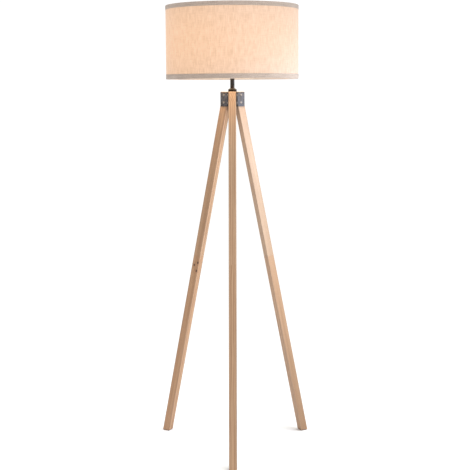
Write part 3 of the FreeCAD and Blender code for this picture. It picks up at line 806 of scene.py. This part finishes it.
collarShape = {
    "footHeight": 0.006,  # the upright rim below the flare
    "footStep": 0.0004,
    "lip": 0.0009,  # how far the lip stands out from the stem
    "lipHeight": 0.0006,
    "stemPlay": 0.0001,
    "drawIn": 1.5,  # powers of the flare's curve: how late it draws in, and how soon it rises
    "climb": 0.9,
}


def gunmetal():
    # dark oiled steel, browner towards its two ends, where the brown at the top is a painted reflection of
    # the shade's warm light
    finish = Finish("oiledGunmetal")
    z = finish.split(finish.place)[2]
    cloud = finish.noise(finish.stretch(1, 1, 0.4), 110.0, 4.0, 0.6)
    line = finish.noise(finish.stretch(1, 1, 0.02), 1500.0, 2.0)
    colour = finish.mix(finish.rise(cloud * 0.7 + line * 0.3, 0.3, 0.7), tone(20, 20, 21), tone(34, 34, 37))
    top = high("stem_tube").z
    bottom = high("stem_collar").z
    start, end = bottom - stemShape["brownLow"], top - stemShape["brownHigh"]
    # painted reflection: the brown band at the stem's top stands for the shade's warm light reflected in it
    ends = 1 - finish.between(z, start, end, stemShape["brownFade"])
    colour = finish.mix(ends * (0.4 + 0.5 * cloud), colour, tone(50, 36, 25))
    return finish.done({
        "Base Color": colour,
        "Metallic": 0.75,
        "Roughness": 0.3 + 0.24 * cloud,
        "Normal": finish.bump(line + cloud, 0.00003),
    })


def agedBronze():
    finish = Finish("agedBronze")
    z = finish.split(finish.place)[2]
    cloud = finish.noise(finish.place, 150.0, 4.0, 0.6)
    worn = finish.rise(cloud, 0.5, 0.72)
    colour = finish.mix(cloud, tone(16, 11, 8), tone(28, 19, 12))
    colour = finish.mix(worn * 0.5, colour, tone(46, 31, 19))
    return finish.done({
        "Base Color": colour,
        "Metallic": 0.4,
        "Roughness": 0.42 + 0.3 * cloud,
        "Specular IOR Level": 0.2,
        "Normal": finish.bump(cloud, 0.00006),
    })


def makeStem():
    tubeLow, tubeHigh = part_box("stem_tube")
    outer = tubeHigh.x
    inner = outer - stemShape["wall"]
    outline = hoop(inner, outer, tubeLow.z, tubeHigh.z)
    tube = turned("stem_tube_oiled", outline, ease=0.0002, step=0.01, around=64)
    standFor(paint(newPiece("oiled_stem", tube), gunmetal()), "stem_tube")
    return outer, tubeLow.z


def makeCollar(stemRadius, seat):
    collarLow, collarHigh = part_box("stem_collar")
    base, top, wide = collarLow.z, collarHigh.z, collarHigh.x
    lip = stemRadius + collarShape["lip"]
    socket = stemRadius + collarShape["stemPlay"]
    foot = base + collarShape["footHeight"]
    narrowing = wide - lip
    rising = top - collarShape["lipHeight"] - foot
    drawIn, climb = collarShape["drawIn"], collarShape["climb"]
    flare = [(wide - narrowing * share ** drawIn, foot + rising * share ** climb)
             for share in (0.1, 0.25, 0.4, 0.55, 0.7, 0.82, 0.92)]
    collar = turned("stem_collar_flared", [
        (pipeHole, base), (wide, base), (wide, foot - collarShape["footStep"]), *flare, (lip, top),
        (socket, top), (socket, seat), (pipeHole, seat),
    ], ease=0.0003, step=0.01)
    standFor(paint(newPiece("flared_collar", collar), agedBronze()), "stem_collar")


makeCollar(*makeStem())
print("stem made")


cuts = {
    "Flutes": 0,
    "Flute Depth": 0.0,
    "Flute Low": 0.0,
    "Flute High": 0.0,
    "Thread Pitch": 1.0,
    "Thread Depth": 0.0,
    "Thread Low": 0.0,
    "Thread High": 0.0,
    "Wall Radius": 0.0,
}


def cutRecipe(name, material):
    # flutes and a thread cut into the wall of a turned piece, between two heights
    recipe = Recipe(name, cuts)
    x, y, z = recipe.split(recipe.place())
    reach = recipe.math("SQRT", x * x + y * y)
    angle = recipe.math("ARCTAN2", y, x)
    onWall = recipe.math("GREATER_THAN", reach, recipe.size("Wall Radius"))
    flutes = abs(recipe.math("SINE", angle * recipe.size("Flutes") * 0.5)) ** 0.7
    fluted = recipe.between(z, recipe.size("Flute Low"), recipe.size("Flute High"), 0.0008)
    turn = z / recipe.size("Thread Pitch") - angle / math.tau
    thread = 0.5 - 0.5 * recipe.math("COSINE", turn * math.tau)
    threaded = recipe.between(z, recipe.size("Thread Low"), recipe.size("Thread High"), 0.0015)
    fluteCut = (1 - flutes) * fluted * recipe.size("Flute Depth")
    threadCut = thread * threaded * recipe.size("Thread Depth")
    share = -1 * onWall * (fluteCut + threadCut) / recipe.math("MAXIMUM", reach, 0.0001)
    offset = recipe.join(x * share, y * share, 0)
    sockets = {"Geometry": recipe.start, "Offset": offset}
    recipe.end(recipe.node("GeometryNodeSetPosition", {}, sockets), material)
    return recipe


def cutTurned(name, outline, material, sizes, ease=0.0004):
    # the short step and the many points around leave room for the thread and the flutes
    recipe = cutRecipe(name + "Cuts", material)
    return recipe.make(name, turned(name, outline, ease, step=0.0006, around=192), cuts | sizes)


bulbThread = 0.00363  # the pitch of the bulb's cap and of the shell that it screws into

holder = {
    "wall": 0.0015,
    "chamfer": 0.0045,
    "chamferInside": 0.0053,
    "bossRadius": 0.0081,
    "bossHeight": 0.008,
    "skirtBore": 0.01405,
    "skirtPlug": 0.0178,  # the part that goes into the shell
    "skirtRadius": 0.019,
    "flangeHeight": 0.0025,
    "skirtThread": (0.0025, 0.0009),  # pitch and depth
    "skirtRoot": 0.0186,  # threads and notches are cut only outside their root's radius
    "ringPlay": 0.00005,
    "ringNotches": (24, 0.0011),  # how many and how deep
    "ringRoot": 0.022,
    "brassBore": 0.0133,
    "brassThreadDepth": 0.00026,
}


def makeShell():
    shellLow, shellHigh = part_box("holder_cap")
    outer, bottom, top = shellHigh.y, shellLow.z, shellHigh.z
    wall, chamfer, bend = holder["wall"], holder["chamfer"], holder["chamferInside"]
    boss, bossTop = holder["bossRadius"], bottom + holder["bossHeight"]
    shell = turned("holder_shell", [
        (pipeHole, bottom), (outer - chamfer, bottom), (outer, bottom + chamfer), (outer, top),
        (outer - wall, top), (outer - wall, bottom + bend), (outer - bend, bottom + wall),
        (boss, bottom + wall), (boss, bossTop), (pipeHole, bossTop),
    ], ease=0.0007, step=0.004)
    standFor(paint(newPiece("holder_shell", shell), skins["black"]), "holder_cap")


def makeSkirt():
    skirtLow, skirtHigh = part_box("holder_skirt")
    bottom, top = skirtLow.z, skirtHigh.z
    bore, plug, outer, flange = holder["skirtBore"], holder["skirtPlug"], holder["skirtRadius"], skirtHigh.y
    rim = high("holder_cap").z
    flangeTop = rim + holder["flangeHeight"]
    pitch, depth = holder["skirtThread"]
    skirt = cutTurned("threaded_skirt", [
        (bore, bottom), (plug, bottom), (plug, rim), (flange, rim), (flange, flangeTop),
        (outer, flangeTop), (outer, top), (bore, top),
    ], skins["black"], {
        "Thread Pitch": pitch, "Thread Depth": depth, "Wall Radius": holder["skirtRoot"],
        "Thread Low": flangeTop + 0.0005, "Thread High": top - 0.001,
    })
    standFor(skirt, "holder_skirt")


def makeShadeRing():
    ringLow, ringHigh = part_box("shade_ring")
    bottom, top, outer = ringLow.z, ringHigh.z, ringHigh.y
    bore = holder["skirtRadius"] + holder["ringPlay"]
    notches, depth = holder["ringNotches"]
    ring = cutTurned("notched_shade_ring", hoop(bore, outer, bottom, top), skins["black"], {
        "Flutes": notches, "Flute Depth": depth, "Wall Radius": holder["ringRoot"],
        "Flute Low": bottom + 0.0003, "Flute High": top - 0.0003,
    })
    standFor(ring, "shade_ring")


def makeSocket():
    brassLow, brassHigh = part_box("socket_thread")
    bottom, top, outer = brassLow.z, brassHigh.z, brassHigh.x
    outline = hoop(holder["brassBore"], outer, bottom, top)
    brass = cutTurned("threaded_shell", outline, steels["brass"], {
        "Thread Pitch": bulbThread, "Thread Depth": holder["brassThreadDepth"],
        "Thread Low": bottom + 0.004, "Thread High": top - 0.001,
    }, ease=0.0001)
    standFor(brass, "socket_thread")


knob = {
    "bore": 0.0025,
    "boreDepth": 0.009,
    "neck": 0.005,
    "neckShare": 0.25,  # shares of the knob's length: where the neck ends and where the grip starts
    "gripShare": 0.34,
    "rimFall": 0.001,
    "rimInset": 0.0006,
    "faceRim": 0.0022,  # from the grip in to the raised rim of the face, and to the sunk face
    "faceInset": 0.003,
    "faceSink": 0.0006,
    "flutes": (20, 0.0007),  # how many and how deep
    "fluteShare": 0.32,
    "fluteRoot": 0.0052,
}


def makeKnob():
    knobLow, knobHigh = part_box("switch_knob")
    length = knobHigh.x - knobLow.x
    wide = knobHigh.y
    face = length - knob["faceSink"]
    flutes, depth = knob["flutes"]
    bore, neck = knob["bore"], knob["neck"]
    grip = cutTurned("fluted_knob", [
        (bore, 0), (neck, 0), (neck, length * knob["neckShare"]), (wide, length * knob["gripShare"]),
        (wide, length - knob["rimFall"]), (wide - knob["rimInset"], length),
        (wide - knob["faceRim"], length), (wide - knob["faceInset"], face), (0, face),
        (0, knob["boreDepth"]), (bore, knob["boreDepth"]),
    ], skins["knob"], {
        "Flutes": flutes, "Flute Depth": depth, "Wall Radius": knob["fluteRoot"],
        "Flute Low": length * knob["fluteShare"], "Flute High": face,
    }, ease=0.0003)
    middle = (knobLow.z + knobHigh.z) / 2
    alongX = Matrix.Translation((knobLow.x, 0, middle)) @ Matrix.Rotation(math.pi / 2, 4, "Y")
    grip.data.transform(alongX)
    standFor(grip, "switch_knob")


makeShell()
makeSkirt()
makeShadeRing()
makeSocket()
paint(cad["holder_block"], skins["brown"])
paint(cad["holder_grub_screw"], steels["zinc"])
for node in ("terminal_screws", "centre_contact", "switch_shaft"):
    paint(cad[node], steels["brass"])
makeKnob()
print("holder and switch made")


drum = {
    "Radius": high("shade_fabric").x,
    "Bottom": low("shade_fabric").z,
    "Height": high("shade_fabric").z - low("shade_fabric").z,
    "Lap": 0.012,  # how far the cloth goes on over its own start
    "Lap Rise": 0.0005,
    "Slub": 0.00014,  # how far the thick yarns stand out
    "Around": 480,  # points along the cloth and up it
    "Up": 72,
}
clothGauge = 0.00045


def drumRecipe(material):
    # a sheet wrapped round the drum, lapped over its own start at the back, with the slubs of its yarn
    recipe = Recipe("wrappedCloth", drum)
    radius = recipe.size("Radius")
    lap = recipe.size("Lap") / radius
    turnBy = math.tau + lap
    sockets = {"Size X": turnBy, "Size Y": recipe.size("Height"),
               "Vertices X": recipe.size("Around"), "Vertices Y": recipe.size("Up")}
    flat = recipe.node("GeometryNodeMeshGrid", {}, sockets, output="Mesh")
    x, y, _ = recipe.split(recipe.place())
    plan = recipe.join((x + turnBy * 0.5) * radius, y + recipe.size("Height") * 0.5, 0)
    settings = {"data_type": "FLOAT_VECTOR", "domain": "POINT"}
    sockets = {"Geometry": flat, "Name": "clothPlan", "Value": plan}
    marked = recipe.node("GeometryNodeStoreNamedAttribute", settings, sockets)

    along, up, _ = recipe.split(recipe.attribute("clothPlan"))
    angle = along / radius
    overStart = recipe.rise(angle, math.tau - lap * 0.5, math.tau) * recipe.size("Lap Rise")
    yarnUp = recipe.noise(recipe.join(along * 260, up * 16, 0), 1.0, 2.0)
    yarnAcross = recipe.noise(recipe.join(along * 16, up * 260, 5), 1.0, 2.0)
    slub = (yarnUp + yarnAcross - 1) * recipe.size("Slub")
    reach = radius + overStart + slub
    bearing = angle + math.radians(90)
    wrapped = recipe.join(
        reach * recipe.math("COSINE", bearing),
        reach * recipe.math("SINE", bearing),
        up + recipe.size("Bottom"),
    )
    cloth = recipe.node("GeometryNodeSetPosition", {}, {"Geometry": marked, "Position": wrapped})
    recipe.end(cloth, material)
    return recipe


glow = {
    "colour": tone(255, 184, 109),
    "cloth": 0.645,  # strength through the cloth, on the liner and of the bulb itself
    "liner": 0.4,
    "bulb": 3,
    "middle": drum["Bottom"] + drum["Height"] * 0.5,
    "reach": drum["Height"] * 0.5,
}


def linen():
    # undyed linen over a lit liner: crossed slubs, a fine weave, a warm glow strongest at the middle
    finish = Finish("undyedLinen")
    plan = finish.node("ShaderNodeAttribute", {"attribute_name": "clothPlan"}, output="Vector")
    along, up, _ = finish.split(plan)
    z = finish.split(finish.place)[2]
    yarnUp = finish.noise(finish.join(along * 560, up * 30, 0), 1.0, 3.0, 0.6)
    yarnAcross = finish.noise(finish.join(along * 30, up * 560, 5), 1.0, 3.0, 0.6)
    mottle = finish.noise(finish.join(along * 90, up * 45, 9), 1.0, 3.0)
    threads = math.tau / 0.0007
    weave = finish.math("SINE", along * threads) * finish.math("SINE", up * threads)
    thick = yarnUp * 0.5 + yarnAcross * 0.26 + mottle * 0.24
    shade = finish.rise(thick, 0.34, 0.66)
    colour = finish.mix(shade, tone(174, 173, 172), tone(148, 143, 138))
    far = abs(z - glow["middle"]) / glow["reach"]
    lit = 1 - 0.16 * far ** 2
    lightThrough = (1.05 - 0.14 * shade) * lit
    glowColour = finish.mix(lightThrough, tone(0, 0, 0), glow["colour"])
    return finish.done({
        "Base Color": colour,
        "Roughness": 0.9,
        "Sheen Weight": 0.35,
        "Sheen Roughness": 0.4,
        "Emission Color": glowColour,
        "Emission Strength": glow["cloth"],
        "Normal": finish.bump(weave * 0.35 + thick * 2, 0.00022),
    })


def linerFilm():
    finish = Finish("linerFilm")
    cloud = finish.noise(finish.place, 30.0, 3.0)
    grain = finish.noise(finish.place, 1500.0, 2.0)
    colour = finish.mix(cloud, tone(252, 246, 236), tone(244, 236, 224))
    far = abs(finish.split(finish.place)[2] - glow["middle"]) / glow["reach"]
    # painted light: the film's emission stands for the bulb's light falling on it, more orange towards its
    # top and bottom
    warm = finish.mix(0.55 + 0.45 * far ** 2, tone(255, 226, 184), tone(255, 206, 150))
    return finish.done({
        "Base Color": colour,
        "Roughness": 0.45 + 0.15 * grain,
        "Emission Color": warm,
        "Emission Strength": glow["liner"],
        "Normal": finish.bump(grain, 0.00004),
    })


def tape():
    # ribbed bias tape of the same yarn, unlit
    finish = Finish("ribbedTape")
    x, y, z = finish.split(finish.place)
    along = finish.math("ARCTAN2", y, x) * drum["Radius"]
    ribs = math.tau / 0.0012
    rib = finish.math("SINE", along * ribs)
    yarn = finish.noise(finish.join(along * 300, z * 300, 0), 1.0, 3.0, 0.6)
    slub = finish.noise(finish.join(along * 24, z * 500, 3), 1.0, 2.0)
    shade = finish.rise(yarn * 0.5 + slub * 0.5, 0.32, 0.7)
    colour = finish.mix(shade, tone(208, 188, 172), tone(170, 149, 135))
    return finish.done({
        "Base Color": colour,
        "Roughness": 0.88,
        "Sheen Weight": 0.3,
        "Sheen Roughness": 0.4,
        "Normal": finish.bump(rib * 0.5 + yarn, 0.00025),
    })


def makeWall():
    cloth = drumRecipe(linen()).make("linen_drum", bpy.data.meshes.new("linenStart"), drum)
    wall = cloth.modifiers.new("clothWall", "SOLIDIFY")
    wall.thickness = clothGauge
    wall.offset = -1
    standFor(cloth, "shade_fabric")
    return cloth


linerGauge = 0.0004


def makeLiner():
    filmLow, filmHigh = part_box("shade_liner")
    outline = hoop(filmHigh.x - linerGauge, filmHigh.x, filmLow.z, filmHigh.z)
    film = turned("liner", outline, ease=0.0001, step=0.03, around=240)
    standFor(paint(newPiece("liner_film", film), linerFilm()), "shade_liner")


wireRadius = 0.0016
wireReach = high("top_wire").x - wireRadius

tapeShape = {
    "gauge": 0.00052,
    "wireDrop": 0.0022,  # from the rim to the middle of the wire
    "play": 0.00006,
    "shoulder": 0.0013,  # how far the tape's bend over the wall reaches, down and in
    "bend": 0.0004,
    "backFall": 0.0014,
    "roundWire": 120,  # degrees
    "eachTurn": 12,
}


def rolledTape(name, node, material, inward):
    # from the free edge up to the rim, over the wall and round the wire; inward is -1 for the top tape
    tapeLow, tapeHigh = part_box(node)
    outer = tapeHigh.x
    edge, rim = (tapeLow.z, tapeHigh.z) if inward < 0 else (tapeHigh.z, tapeLow.z)
    gauge, bend, shoulder = tapeShape["gauge"], tapeShape["bend"], tapeShape["shoulder"]
    inner = outer - gauge
    wireHeight = rim + inward * tapeShape["wireDrop"]

    def roundWire(hold):
        turns = range(0, tapeShape["roundWire"] + 1, tapeShape["eachTurn"])
        angles = [math.radians(90 + turn) for turn in turns]
        return [(wireReach + hold * math.cos(angle), wireHeight - inward * hold * math.sin(angle))
                for angle in angles]

    hold = wireRadius + tapeShape["play"]
    front = [(outer, edge), (outer, rim + inward * shoulder), (outer - bend, rim + inward * bend),
             (outer - shoulder, rim)]
    back = [(inner, edge), (inner, rim + inward * tapeShape["backFall"]),
            (inner - bend, rim + inward * gauge)]
    outline = front + roundWire(hold + gauge) + (back + roundWire(hold))[::-1]
    piece = paint(newPiece(name, turned(name, outline, ease=0.00008, step=0.004, around=360)), material)
    standFor(piece, node)
    return piece


fitter = {
    "bore": 0.02,
    "radius": 0.026,
    "gauge": 0.002,
}

spokes = {
    "Ring Radius": wireReach,
    "Ring Height": low("shade_frame").z + wireRadius,
    "Hub Radius": 0.0255,
    "Hub Height": high("shade_frame").z - fitter["gauge"] / 2,
    "Wire Radius": wireRadius,
    "Spokes": 3,
    "Weld Radius": 0.0026,
}


def spokeRecipe(material):
    # the bottom wire and its spokes, welded to the washer that comes in as geometry
    recipe = Recipe("wireAndSpokes", spokes)

    def circle(points, radius):
        sockets = {"Resolution": points, "Radius": radius}
        return recipe.node("GeometryNodeCurvePrimitiveCircle", {}, sockets, output="Curve")

    section = circle(14, recipe.size("Wire Radius"))

    def wire(line, capped):
        sockets = {"Curve": line, "Profile Curve": section, "Fill Caps": capped}
        return recipe.node("GeometryNodeCurveToMesh", {}, sockets)

    ring = wire(circle(240, recipe.size("Ring Radius")), False)
    ring = recipe.moved(ring, recipe.join(0, 0, recipe.size("Ring Height")))

    onWire = recipe.join(recipe.size("Ring Radius"), 0, recipe.size("Ring Height"))
    onHub = recipe.join(recipe.size("Hub Radius"), 0, recipe.size("Hub Height"))
    line = recipe.node("GeometryNodeCurvePrimitiveLine", {}, {"Start": onWire, "End": onHub})
    line = recipe.node("GeometryNodeResampleCurve", {}, {"Curve": line, "Count": 24})
    parts = [wire(line, True)]
    for spot in (onWire, onHub):
        sockets = {"Segments": 20, "Rings": 12, "Radius": recipe.size("Weld Radius")}
        parts.append(recipe.moved(recipe.node("GeometryNodeMeshUVSphere", {}, sockets, output="Mesh"), spot))
    spoke = recipe.joined(*parts)
    spots = recipe.node("GeometryNodePoints", {}, {"Count": recipe.size("Spokes")})
    count = recipe.node("GeometryNodeInputIndex")
    turnBy = count * (math.tau / spokes["Spokes"]) + math.radians(bearings["front"] + 180)
    around = {"Points": spots, "Instance": spoke, "Rotation": recipe.join(0, 0, turnBy)}
    spread = recipe.node("GeometryNodeInstanceOnPoints", {}, around)
    whole = recipe.joined(spread, ring, recipe.start)
    recipe.end(whole, material)
    return recipe


def makeCarrier():
    top = high("shade_frame").z
    bottom = top - fitter["gauge"]
    washer = turned("fitter", hoop(fitter["bore"], fitter["radius"], bottom, top), step=0.01)
    carrier = spokeRecipe(skins["powder"]).make("spoked_carrier", washer, spokes)
    standFor(carrier, "shade_frame")
    paint(cad["top_wire"], skins["powder"])


def makeShade():
    cloth = makeWall()
    makeLiner()
    band = tape()
    rims = [
        rolledTape("top_tape", "top_trim", band, -1),
        rolledTape("bottom_tape", "bottom_trim", band, 1),
    ]
    makeCarrier()


makeShade()
print("shade made")


def opalGlass():
    # opal globe, lit: bright at the middle, warmer towards the neck
    finish = Finish("opalGlass")
    z = finish.split(finish.place)[2]
    neck = low("bulb_glass").z
    warm = finish.rise(z, neck + 0.01, neck + 0.06)
    cloud = finish.noise(finish.place, 60.0, 3.0)
    light = finish.mix(warm, tone(255, 168, 96), tone(255, 226, 186))
    return finish.done({
        "Base Color": finish.mix(cloud, tone(248, 246, 240), tone(242, 238, 230)),
        "Roughness": 0.16 + 0.08 * cloud,
        "Coat Weight": 0.5,
        "Emission Color": light,
        "Emission Strength": glow["bulb"],
    })


bulb = {
    "gauge": 0.0008,
    "neckRadius": 0.0123,
    "neckRise": 0.0215,  # where the straight neck ends
    "neckGuide": 0.034,  # where the neck's line points to as it starts to swell
    "shoulder": 0.0135,  # the radius at which the swelling meets the ball
    "shoulderLean": 0.012,
    "capWall": 0.0006,
    "capThreadDepth": 0.00075,
}


def envelope(inset):
    # half the section of the glass, from the neck over the shoulder to the top of the ball
    glassLow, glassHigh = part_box("bulb_glass")
    bottom = glassLow.z
    middle = glassHigh.z - glassHigh.x
    ball = glassHigh.x - inset
    neck = bulb["neckRadius"] - inset
    start = math.asin(bulb["shoulder"] / ball)
    foot = Vector((neck, bottom + bulb["neckRise"]))
    guide = Vector((neck, bottom + bulb["neckGuide"]))
    meet = Vector((ball * math.cos(start), middle - ball * math.sin(start)))
    lean = meet + Vector((-math.sin(start), -math.cos(start))) * bulb["shoulderLean"]
    curve = [(neck, bottom), tuple(foot)]
    swell, cap = 8, 24  # how many points make the swelling and the ball
    for step in range(1, swell + 1):
        share = step / swell
        rest = 1 - share
        leaving = foot * rest ** 3 + guide * 3 * rest ** 2 * share
        arriving = lean * 3 * rest * share ** 2 + meet * share ** 3
        curve.append(tuple(leaving + arriving))
    for step in range(1, cap + 1):
        angle = -start + (math.pi / 2 + start) * step / cap
        reach = ball * math.cos(angle) if step < cap else 0
        curve.append((reach, middle + ball * math.sin(angle)))
    return curve


def makeBulb():
    outline = envelope(0) + envelope(bulb["gauge"])[::-1]
    glass = turned("globe", outline, ease=0.00005, step=0.01)
    standFor(paint(newPiece("opal_globe", glass), opalGlass()), "bulb_glass")

    capLow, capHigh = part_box("bulb_cap")
    bottom, top, wide = capLow.z, capHigh.z, capHigh.x
    inner = wide - bulb["capWall"]
    cap = cutTurned("screw_cap", [
        (inner - 0.0004, bottom), (wide, bottom), (wide, top), (inner, top),
    ], steels["nickel"], {
        "Thread Pitch": bulbThread, "Thread Depth": bulb["capThreadDepth"],
        "Thread Low": bottom + 0.0008, "Thread High": top - 0.003,
    }, ease=0.0001)
    standFor(cap, "bulb_cap")
    paint(cad["bulb_insulator"], skins["glazed"])
    paint(cad["bulb_tip"], steels["solder"])


makeBulb()
print("bulb made")
